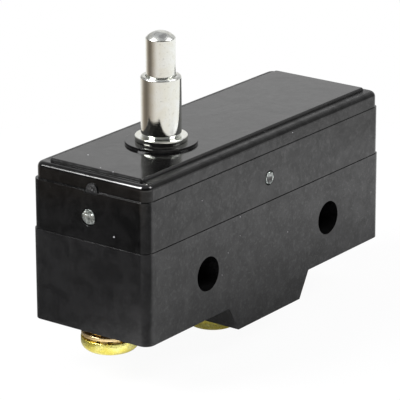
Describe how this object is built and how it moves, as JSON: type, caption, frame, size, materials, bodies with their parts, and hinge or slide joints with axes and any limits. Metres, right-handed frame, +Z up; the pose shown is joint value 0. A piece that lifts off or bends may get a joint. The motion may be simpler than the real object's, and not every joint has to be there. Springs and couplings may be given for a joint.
{
  "type": "pushbutton micro switch",
  "caption": "Large basic switch: black moulded case with a slim metal spring plunger on top, mounting holes through its width and brass screw terminals underneath.",
  "frame": {"origin": "midway between the two mounting holes, on their axes, at half the case's width", "axes": "+X along the case, away from the plunger; +Y along the mounting holes, across the case; +Z up, the way the plunger points"},
  "size_m": [0.0492, 0.0174, 0.0404],
  "materials": {
    "base_plastic": "black phenolic moulding, glossy with fine mottling",
    "cover_plastic": "black phenolic moulding, glossy",
    "inner_plastic": "brown phenolic",
    "pin_metal": "plain, with a cut end",
    "sleeve_metal": "polished nickel",
    "plunger_metal": "polished, turned",
    "spring_steel": "bright",
    "blade_bronze": "rolled",
    "terminal_brass": "plain",
    "screw_brass": "bright",
    "washer_brass": "plain",
    "contact_silver": "satin silver"
  },
  "bodies": {
    "body": {"case": "base_plastic", "cover": "cover_plastic", "cover_pins": "pin_metal", "plunger_sleeve": "sleeve_metal", "retainer_cup": "spring_steel", "blade_clamp": "spring_steel", "blade_spacer": "terminal_brass", "common_bush": "terminal_brass", "common_bracket": "terminal_brass", "open_bush": "terminal_brass", "open_bracket": "terminal_brass", "open_contact": "contact_silver", "closed_bush": "terminal_brass", "closed_bracket": "terminal_brass", "closed_contact": "contact_silver", "terminal_screws": "screw_brass", "plain_washers": "washer_brass", "toothed_washers": "washer_brass"},
    "plunger": {"plunger_pin": "plunger_metal", "overtravel_spring": "spring_steel"},
    "inner_plunger": {"inner_plunger": "inner_plastic"},
    "contact_arm": {"snap_blade": "blade_bronze", "moving_contact": "contact_silver"}
  },
  "joints": [
    {"name": "plunger_press", "type": "slide", "parent": "body", "child": "plunger", "axis": [0, 0, -1], "range_m": [0, 0.002], "stiffness_N_per_m": 900, "springref_m": -0.0022, "deforming": ["overtravel_spring"]},
    {"name": "inner_plunger_press", "type": "slide", "parent": "body", "child": "inner_plunger", "axis": [0, 0, -1], "range_m": [0, 0.0005]},
    {"name": "contact_snap", "type": "slide", "parent": "body", "child": "contact_arm", "axis": [0, 0, -1], "range_m": [0, 0.00045], "deforming": ["snap_blade"]}
  ],
  "couplings": [
    {"joint": "inner_plunger_press", "follows": "plunger_press", "ratio": 0.25},
    {"joint": "contact_snap", "follows": "plunger_press", "ratio": 0.225}
  ]
}
